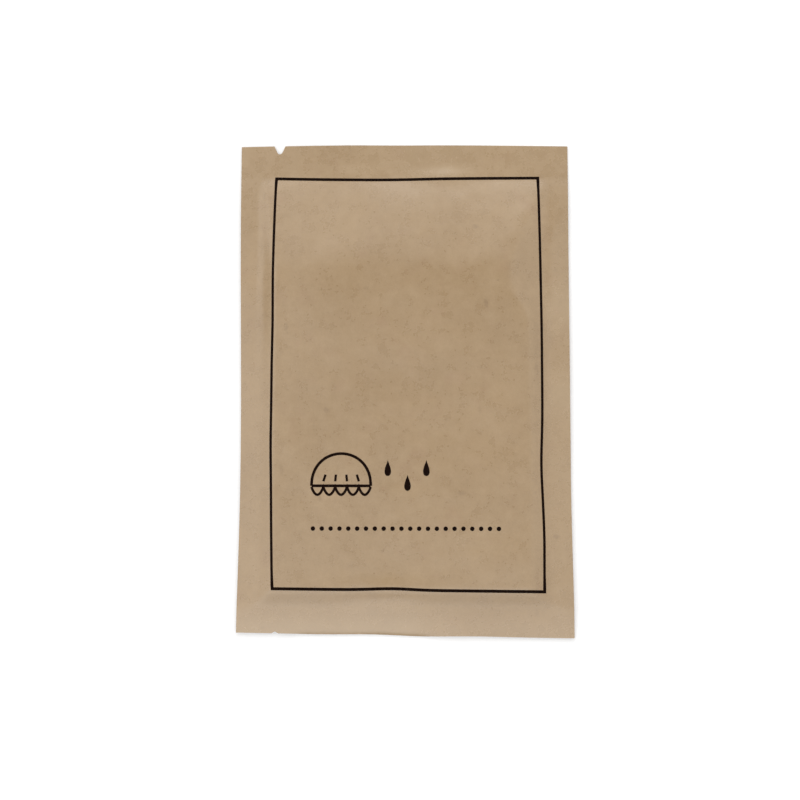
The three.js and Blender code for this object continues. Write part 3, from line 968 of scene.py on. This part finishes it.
def sign_solids():
    """The strokes and filled shapes of the pictogram and the rule."""
    half = DOME_WIDTH / 2
    turn = np.linspace(0, math.pi, 40)
    dome = sign_point(half + half * np.cos(turn), HEM_LEVEL + DOME_HEIGHT * np.sin(turn) ** DOME_FULLNESS)
    hem = sign_point(np.linspace(0, DOME_WIDTH, 24), np.full(24, HEM_LEVEL))
    scallop = DOME_WIDTH / SCALLOPS
    t = np.linspace(0, SCALLOPS, SCALLOPS * 10 + 1)
    sag = SCALLOP_DEPTH * np.abs(np.sin(math.pi * t)) ** SCALLOP_FULLNESS
    scallops = sign_point(t * scallop, HEM_LEVEL - SCALLOP_GAP - sag)
    solids = [
        stroke_solid(dome, SIGN_LINE),
        stroke_solid(hem, SIGN_LINE),
        stroke_solid(scallops, SCALLOP_LINE),
    ]
    for gather in range(1, SCALLOPS):
        x = gather * scallop
        lean = (x - half) * PLEAT_LEAN
        pleat = sign_point(np.linspace(x, x - lean, 5), np.linspace(PLEAT_FOOT, PLEAT_TOP, 5))
        solids.append(stroke_solid(pleat, PLEAT_LINE))
    turn = np.linspace(0, 2 * math.pi, 33)[:-1]
    reach = DROP_WIDTH / 2 * np.sin(turn) * np.sin(turn / 2) ** DROP_TAPER
    for x, y in DROP_PLACES:
        solids.append(fill_solid(sign_point(x - reach, y + DROP_HEIGHT / 2 * np.cos(turn))))
    turn = np.linspace(0, 2 * math.pi, 17)[:-1]
    for x in np.linspace(RULE_LEFT, RULE_RIGHT, RULE_DOTS):
        dot = np.column_stack([x + DOT_RADIUS * np.cos(turn), RULE_Y + DOT_RADIUS * np.sin(turn)])
        solids.append(fill_solid(dot))
    return solids


sign_points, sign_faces = joined(sign_solids())
add_piece("sign_print", sign_points, sign_faces, INK, "sachet")

# The folded cap: one thin film laid to and fro in many plies, with its gathered hem on top.
PLIES = 36
PLY_COLUMNS = 36
PLY_ROWS = 48
FOLD_STEPS = 4
FOLD_BULGE = 0.04
LEFT_FOLD_ROOM = (0.15, 1.3)
RIGHT_FOLD_ROOM = (0.15, 1.8)
PLY_BASE = 0.06
PLY_END_RAGGED = 0.9
PLY_LOW_END = pack_low[1] + 1.1
PLY_HIGH_END = pack_high[1] - 2.4
PLY_END_RUN = 7.0
UNDER_HEM = elastic_low[2] - pack_low[2] - 0.12
BESIDE_HEM = pack_high[2] - pack_low[2] - 0.26
BESIDE_HEM_RUN = 9.0
HEM_WIDTH = 13.4
HEM_ROWS = 220
HEM_LEFT = pack_low[0] + 0.25
HEM_TOP = pack_high[2] - 0.1
HEM_FOLD = 0.5
HEM_GAP = 0.1
HEM_STEP = 1.4
HEM_RAGGED = 0.12
HEM_END_ROOM = 0.8
HEM_END_RUN = 5.0
RUFFLE_HEIGHT = 0.05
RUFFLE_LENGTH = 2.3
# Seeded random numbers for where the plies fold.
fold_random = np.random.default_rng(7)


def pack_top(x):
    """Height of the stack of plies: lower under the hem, fuller beside it."""
    return UNDER_HEM + (BESIDE_HEM - UNDER_HEM) * ease((x - pack_low[0] - HEM_WIDTH) / BESIDE_HEM_RUN)


def pack_corner(x):
    """How far the folded corner draws back from the pack's top end."""
    reach = np.maximum(x - CREST_RIGHT + CORNER_WIDTH + 1, 0)
    return reach * (CORNER_HEIGHT + 1) / (CORNER_WIDTH + 1)


def plies_path():
    """Place across the pack and level in the stack, from 0 to 1, along the folded film."""
    left = pack_low[0] + fold_random.uniform(*LEFT_FOLD_ROOM, PLIES + 1)
    right = pack_high[0] - fold_random.uniform(*RIGHT_FOLD_ROOM, PLIES + 1)
    place = []
    level = []
    for ply in range(PLIES):
        to_right = ply % 2 == 0
        start = left[ply // 2] if to_right else right[ply // 2]
        end = right[ply // 2] if to_right else left[ply // 2 + 1]
        place.extend(np.linspace(start, end, PLY_COLUMNS))
        level.extend([ply] * PLY_COLUMNS)
        if ply < PLIES - 1:
            out = FOLD_BULGE if to_right else -FOLD_BULGE
            for step in range(1, FOLD_STEPS):
                angle = math.pi * step / FOLD_STEPS
                place.append(end + out * math.sin(angle))
                level.append(ply + (1 - math.cos(angle)) / 2)
    return np.array(place), (np.array(level) + 0.5) / PLIES


def cap_piece():
    """The plies of the cap as one open sheet."""
    place, level = plies_path()
    ragged = np.arange(len(place)) / PLY_COLUMNS
    low_end = PLY_LOW_END + PLY_END_RAGGED * noise(ragged, 0, 0.7, seed=71)
    high_end = PLY_HIGH_END + PLY_END_RAGGED * noise(ragged, 0, 0.7, seed=72) - pack_corner(place)
    y = low_end + (high_end - low_end) * np.linspace(0, 1, PLY_ROWS)[:, None]
    x = np.tile(place, (PLY_ROWS, 1))
    ends = ease((y - pack_low[1]) / PLY_END_RUN) * ease((pack_high[1] - y) / PLY_END_RUN)
    crumple = 0.05 * creased(x, y, 11, seed=73) + 0.03 * creased(x, y, 5.2, seed=74)
    height = pack_top(x) * (0.86 + 0.12 * ends + crumple * ends)
    z = pack_low[2] + PLY_BASE + (height - PLY_BASE) * level
    faces = grid_quads(len(place), PLY_ROWS)
    points = grid_points(x, y, z)
    return add_piece("cap_plies", points, faces, CAP_FILM, "cap", ["cap_film"], NEVER_SHARP)


def hem_piece():
    """The turned-over hem: round the fold, over the elastic and down onto the plies."""
    base = pack_low[2] + pack_top(HEM_LEFT)
    turn = np.linspace(-math.pi / 2, math.pi / 2, 9)
    fold_x = HEM_LEFT + HEM_FOLD - HEM_FOLD * np.cos(turn)
    fold_z = (HEM_TOP + base) / 2 + (HEM_TOP - base) / 2 * np.sin(turn)
    flap_x = np.linspace(HEM_LEFT + HEM_FOLD + HEM_GAP, pack_low[0] + HEM_WIDTH, 40)
    drop = ease((flap_x - elastic_high[0] - HEM_GAP) / HEM_STEP)
    flap_z = HEM_TOP - (HEM_TOP - base - HEM_GAP) * drop
    path_x = np.concatenate([fold_x, flap_x])
    path_z = np.concatenate([fold_z, flap_z])
    gathered = np.concatenate([np.linspace(0.2, 1, len(fold_x)), 1 - 0.55 * drop])
    y = np.linspace(pack_low[1] + HEM_END_ROOM, pack_high[1] - HEM_END_ROOM, HEM_ROWS)[:, None]
    wander = 0.5 * noise(path_x[None, :], y, 5, seed=81)
    ruffle = np.sin((y + wander) * 2 * math.pi / RUFFLE_LENGTH + 2.2 * noise(0, y, 9, seed=82))
    x = path_x + HEM_RAGGED * noise(0, y, 2.4, seed=83) * ease((path_x - HEM_LEFT) / HEM_WIDTH)
    ends = 0.3 + 0.7 * ease((y - pack_low[1]) / HEM_END_RUN) * ease((pack_high[1] - y) / HEM_END_RUN)
    z = path_z + RUFFLE_HEIGHT * gathered * ruffle * ends
    faces = grid_quads(len(path_x), HEM_ROWS)
    points = grid_points(x, y + 0 * x, z)
    return add_piece("cap_hem", points, faces, CAP_FILM, "cap", (), NEVER_SHARP)


# The elastic: a flat band with soft edges, slightly crimped along its length.
BAND_WIDTH = 1.0
BAND_HALF_THICKNESS = 0.17
BAND_CRIMP = 0.025
BAND_CRIMP_TURN = 2.1
BAND_SECTIONS = 108
BAND_CORNERS = 12


def arc(centre, radius, start, end, count):
    """Points of an arc in the plan, angles in degrees."""
    angle = np.radians(np.linspace(start, end, count))
    return np.column_stack([centre[0] + radius * np.cos(angle), centre[1] + radius * np.sin(angle)])


def straight(x, start, end):
    """Points of a straight run of the elastic, without its two ends."""
    return np.column_stack([np.full(BAND_SECTIONS, x), np.linspace(start, end, BAND_SECTIONS + 2)[1:-1]])


def elastic_path():
    """The middle line of the closed elastic loop, which is doubled back on itself."""
    middle = (elastic_low[0] + elastic_high[0]) / 2
    outer = (elastic_high[0] - elastic_low[0] - BAND_WIDTH) / 2
    inner = outer - 2 * BAND_WIDTH
    bend = BAND_WIDTH
    high_centre = elastic_high[1] - BAND_WIDTH / 2 - outer
    low_centre = elastic_low[1] + BAND_WIDTH / 2 + bend
    return np.concatenate([
        straight(middle - outer, low_centre, high_centre),
        arc((middle, high_centre), outer, 180, 0, 25),
        straight(middle + outer, high_centre, low_centre),
        arc((middle + outer - bend, low_centre), bend, 0, -180, 15),
        straight(middle + inner, low_centre, high_centre),
        arc((middle, high_centre), inner, 0, 180, 19),
        straight(middle - inner, high_centre, low_centre),
        arc((middle - outer + bend, low_centre), bend, 0, -180, 15),
    ])


def rounded(values, power):
    """Values from -1 to 1 pushed outwards, which makes a circle into a rounded box."""
    return np.sign(values) * np.abs(values) ** power


def elastic_piece():
    """The elastic loop as one closed band."""
    path = elastic_path()
    sideways = leftward(unit(np.roll(path, -1, axis=0) - np.roll(path, 1, axis=0)))
    corner = (np.arange(BAND_CORNERS) + 0.5) * 2 * math.pi / BAND_CORNERS
    profile_x = BAND_WIDTH / 2 * rounded(np.cos(corner), 0.45)
    profile_z = BAND_HALF_THICKNESS * rounded(np.sin(corner), 0.6)
    crimp = BAND_CRIMP * np.sin(np.arange(len(path)) * BAND_CRIMP_TURN)[:, None]
    reach = profile_x * (1 + 0.5 * crimp)
    flat = path[:, None, :] + sideways[:, None, :] * reach[:, :, None]
    z = (elastic_low[2] + elastic_high[2]) / 2 + profile_z + crimp
    faces = []
    for i in range(len(path)):
        here = i * BAND_CORNERS
        following = (i + 1) % len(path) * BAND_CORNERS
        for k in range(BAND_CORNERS):
            beside = (k + 1) % BAND_CORNERS
            faces.append((here + k, here + beside, following + beside, following + k))
    points = grid_points(flat[:, :, 0], flat[:, :, 1], z)
    return add_piece("elastic_loop", points, faces, ELASTIC, "cap", ["elastic_band"])


cap_plies = cap_piece()
cap_hem = hem_piece()
elastic_loop = elastic_piece()

# The camera is almost straight above, a little below the middle of the sachet.
CAMERA_PLACE = (3.55, -44.14, 347.35 + SEAL_MID)
CAMERA_TILT = (6.76, 0.75, 0.04)
CAMERA_LENS = 69.93
CAMERA_NEAR = 10.0
# The key light stands beyond the top edge and is weak. Its lengths are in metres.
KEY_ANGLE = 55
KEY_DISTANCE = 1.0
KEY_SIZE = 0.5
KEY_ENERGY = 1.8
# The main light is a wide ring round the camera's place, whose axis leans towards +Y and +X.
RING_TILT = 13.5
RING_SIDE_TILT = 1.8
RING_LEVEL = 2.1
# Angle from the ring's axis in degrees, and share of the ring's level.
RING_STOPS = ((90, 0.2), (68, 0.2), (56, 1.0), (16.8, 1.0), (8, 0.03), (0, 0.03))
# Lean of a direction towards +X, from -1 to 1, and share of the light there.
SIDE_STOPS = ((-1, 0.7), (-0.6, 0.61), (-0.42, 0.63), (-0.26, 0.73), (0.4, 0.43), (1, 0.43))
# Lean of a direction towards +Y, from -1 to 1, and share of the light there.
NEAR_STOPS = ((-1, 0.9), (-0.65, 1.35), (-0.5, 1.3), (-0.34, 1.3), (-0.15, 1.3), (-0.05, 1.0), (1, 1.0))
# Directions lower than the first of these start to mirror the white backdrop.
MIRROR_START = 0.1
MIRROR_FULL = 0.03
# The floor's half width in metres, how far it lies below the sachet, and its own light.
FLOOR_SIZE = 3.0
FLOOR_DROP = 0.05
FLOOR_GLOW = 0.22


def add_camera():
    """The camera at its place."""
    data = bpy.data.cameras.new("camera")
    data.lens = CAMERA_LENS
    data.clip_start = CAMERA_NEAR * MM
    camera = add_object("camera", data)
    turned = Matrix.Translation([value * MM for value in CAMERA_PLACE])
    for angle, axis in zip(CAMERA_TILT, "XYZ"):
        turned = turned @ Matrix.Rotation(math.radians(angle), 4, axis)
    camera.matrix_world = turned
    bpy.context.scene.camera = camera


def add_key():
    """The weak key light."""
    data = bpy.data.lights.new("key", "AREA")
    data.shape = "DISK"
    data.size = KEY_SIZE
    data.energy = KEY_ENERGY
    turn = Matrix.Rotation(math.radians(-KEY_ANGLE), 4, "X")
    add_object("key", data).matrix_world = turn @ Matrix.Translation((0, 0, KEY_DISTANCE))


def add_world():
    """The ring of light, and a backdrop that shows as white, also mirrored where it is low."""
    world = bpy.data.worlds.new("studio")
    bpy.context.scene.world = world
    world.use_nodes = True
    sky = Nodes(world.node_tree)
    direction = sky.add("TexCoord").outputs["Generated"]
    leans = sky.add("SeparateXYZ", {"Vector": direction}).outputs
    lean_x = math.sin(math.radians(RING_SIDE_TILT))
    lean_y = math.sin(math.radians(RING_TILT))
    axis = (lean_x, lean_y, math.sqrt(1 - lean_x**2 - lean_y**2))
    facing = sky.add("VectorMath", {0: direction, 1: axis}, operation="DOT_PRODUCT").outputs["Value"]
    ring = sky.stepped(facing, [(math.cos(math.radians(angle)), level) for angle, level in RING_STOPS])
    shares = []
    for lean, stops in ((leans["X"], SIDE_STOPS), (leans["Y"], NEAR_STOPS)):
        halved = [((place + 1) / 2, level) for place, level in stops]
        shares.append(sky.stepped(sky.ramp(lean, -1.0, 1.0), halved))
    shaded = {"Vector": ring, "Scale": sky.times(*shares)}
    light = sky.tree.nodes["Background"]
    sky.put(light.inputs["Color"], sky.add("VectorMath", shaded, operation="SCALE").outputs["Vector"])
    sky.put(light.inputs["Strength"], RING_LEVEL)
    path = sky.add("LightPath").outputs
    mirrored = sky.times(path["Is Glossy Ray"], sky.ramp(leans["Z"], MIRROR_START, MIRROR_FULL))
    shown = sky.most(mirrored, path["Is Camera Ray"], path["Is Transmission Ray"])
    white = sky.add("Background", {"Color": WHITE}).outputs["Background"]
    either = sky.add("MixShader", {0: shown, 1: light.outputs["Background"], 2: white})
    sky.put(sky.tree.nodes["World Output"].inputs["Surface"], either.outputs["Shader"])


def floor_material():
    """White table top that looks as white as the backdrop and keeps the shadow."""
    shader = Shader("floor")
    path = shader.add("LightPath").outputs
    shown = shader.most(path["Is Camera Ray"], path["Is Glossy Ray"], path["Is Transmission Ray"])
    shader.set(Base_Color=FLOOR_GREY, Roughness=0.9, Specular_IOR_Level=0.0)
    shader.set(Emission_Color=WHITE, Emission_Strength=shader.times(shown, FLOOR_GLOW))
    return shader.material


def add_floor():
    """The table top under the sachet."""
    mesh = bpy.data.meshes.new("floor")
    corners = [(x * FLOOR_SIZE, y * FLOOR_SIZE, 0) for x, y in ((-1, -1), (1, -1), (1, 1), (-1, 1))]
    mesh.from_pydata(corners, [], [(0, 1, 2, 3)])
    mesh.materials.append(floor_material())
    floor = add_object("floor", mesh)
    floor.location.z = -FLOOR_DROP * MM


add_camera()
add_key()
add_world()
add_floor()
bpy.context.scene.view_settings.view_transform = "Standard"
